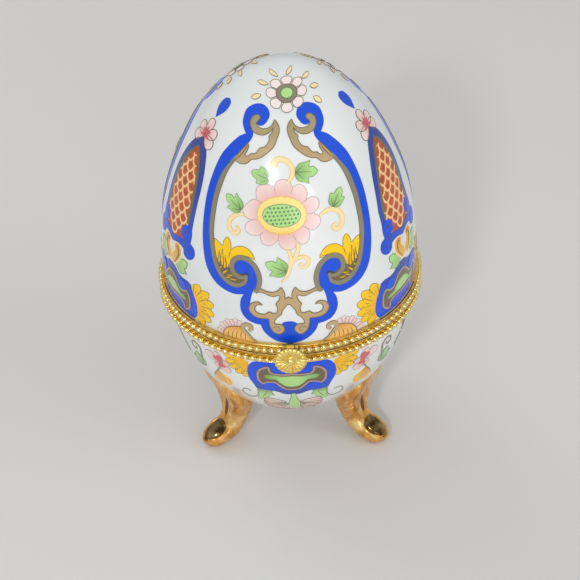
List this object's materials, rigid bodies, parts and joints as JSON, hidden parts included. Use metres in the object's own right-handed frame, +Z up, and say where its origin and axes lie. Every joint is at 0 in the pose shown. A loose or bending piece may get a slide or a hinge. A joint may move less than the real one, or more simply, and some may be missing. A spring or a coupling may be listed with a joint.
{
  "type": "egg trinket box",
  "caption": "Egg-shaped hinged trinket box in glazed porcelain, standing on three scrolled feet, with beaded brass rims and a flower clasp.",
  "frame": {"origin": "on the egg's vertical axis, on the surface that the feet stand on", "axes": "+Z up, the clasp at -Y and the hinge at +Y"},
  "size_m": [0.0776, 0.0828, 0.1225],
  "materials": {
    "glazed_porcelain": "glossy white glaze with raised enamel scrollwork",
    "gilt_lustre": "worn gold lustre on porcelain",
    "gilt_brass": "polished, lightly tarnished in the grooves"
  },
  "bodies": {
    "bowl": {"bowl_shell": "glazed_porcelain", "foot_front_left": "gilt_lustre", "foot_front_right": "gilt_lustre", "foot_rear": "gilt_lustre", "bowl_bezel": "gilt_brass", "locating_collar": "gilt_brass", "bowl_beads_left": "gilt_brass", "bowl_beads_right": "gilt_brass", "hinge_knuckle_bowl_left": "gilt_brass", "hinge_knuckle_bowl_right": "gilt_brass", "hinge_pin": "gilt_brass", "catch_stud": "gilt_brass"},
    "lid": {"lid_shell": "glazed_porcelain", "lid_bezel": "gilt_brass", "lid_beads_left": "gilt_brass", "lid_beads_right": "gilt_brass", "hinge_knuckle_lid": "gilt_brass", "clasp_lug_left": "gilt_brass", "clasp_lug_right": "gilt_brass", "clasp_pin": "gilt_brass"},
    "clasp": {"clasp_tongue": "gilt_brass", "clasp_flower": "gilt_brass", "clasp_button": "gilt_brass"}
  },
  "joints": [
    {"name": "lid_hinge", "type": "hinge", "parent": "bowl", "child": "lid", "pos_m": [0, 0.03997, 0.0536], "axis": [-1, 0, 0], "range_deg": [0, 100]},
    {"name": "clasp_hinge", "type": "hinge", "parent": "lid", "child": "clasp", "pos_m": [0, -0.03897, 0.0576], "axis": [-1, 0, 0], "range_deg": [0, 150]}
  ]
}
